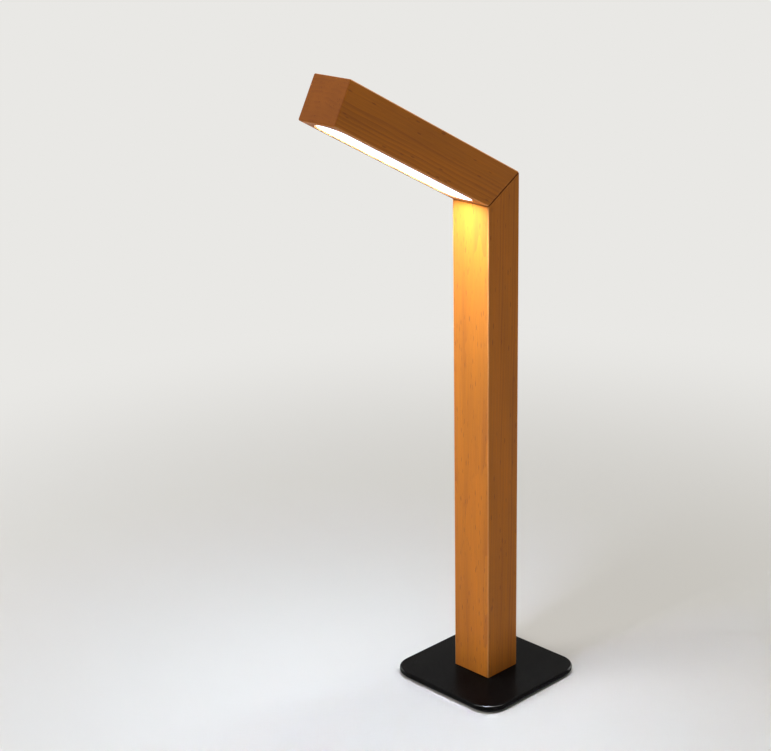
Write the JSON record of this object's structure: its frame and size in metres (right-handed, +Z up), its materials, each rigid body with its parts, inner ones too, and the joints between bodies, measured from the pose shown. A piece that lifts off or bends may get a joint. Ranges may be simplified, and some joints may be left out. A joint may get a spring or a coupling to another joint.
{
  "type": "bedside lamp",
  "caption": "Cordless bedside lamp: a square wooden post on a thin black plate, with a wooden head on a mitre swivel, a long lit strip underneath and a push button at the rear.",
  "frame": {"origin": "on the table under the middle of the base plate, at the underside of the rubber pad", "axes": "+Z up along the post, -Y to the front, where the head reaches out, +X to the right of someone who faces the front; that side is in shadow in the picture"},
  "size_m": [0.09, 0.1832, 0.4164],
  "materials": {
    "oiled_beech": "satin oil",
    "black_coated_steel": "satin powder coat",
    "black_rubber": "matte",
    "zinc_plated_steel": "bright zinc plating",
    "nickel_plated_steel": "satin nickel plating",
    "spring_steel": "bare",
    "bare_aluminium": "bare",
    "turned_brass": "turned",
    "black_moulded_plastic": "matte",
    "clear_plastic": "clear",
    "opal_plastic": "opal, lit from behind",
    "grey_foam": "open foam",
    "blue_shrink_wrap": "shrink film",
    "green_circuit_board": "solder mask",
    "white_circuit_board": "white solder mask",
    "natural_acetal": "matte"
  },
  "bodies": {
    "root": {"base_pad": "black_rubber", "base_plate": "black_coated_steel", "base_screw_left": "zinc_plated_steel", "base_screw_right": "zinc_plated_steel", "foot_plug": "bare_aluminium", "post": "oiled_beech", "charging_socket": "nickel_plated_steel", "charge_light_lens": "clear_plastic", "button_ring": "black_coated_steel", "push_switch": "black_moulded_plastic", "circuit_board": "green_circuit_board", "board_holder": "black_moulded_plastic", "battery_cell": "blue_shrink_wrap", "lower_foam_pad": "grey_foam", "upper_foam_pad": "grey_foam", "cell_lead": "black_rubber", "post_cable": "black_rubber", "swivel_flange": "zinc_plated_steel", "flange_screw_front_left": "zinc_plated_steel", "flange_screw_front_right": "zinc_plated_steel", "flange_screw_rear_left": "zinc_plated_steel", "flange_screw_rear_right": "zinc_plated_steel", "stop_pin": "zinc_plated_steel", "friction_disc": "natural_acetal", "thrust_washer": "zinc_plated_steel", "wave_washer": "spring_steel", "lock_nut": "turned_brass"},
    "head_body": {"head": "oiled_beech", "swivel_hub": "zinc_plated_steel", "light_channel": "bare_aluminium", "light_board": "white_circuit_board", "light_screw_1": "zinc_plated_steel", "light_screw_2": "zinc_plated_steel", "light_screw_3": "zinc_plated_steel", "diffuser": "opal_plastic", "head_cable": "black_rubber"},
    "button_body": {"power_button": "black_moulded_plastic", "switch_stem": "black_moulded_plastic"}
  },
  "joints": [
    {"name": "head_swivel", "type": "hinge", "parent": "root", "child": "head_body", "pos_m": [0, 0, 0.3323], "axis": [0, -0.5098, 0.8603], "range_deg": [0, 180]},
    {"name": "button_press", "type": "slide", "parent": "root", "child": "button_body", "axis": [0, -1, 0], "range_m": [0, 0.0006], "stiffness_N_per_m": 800, "springref_m": -0.0015}
  ]
}
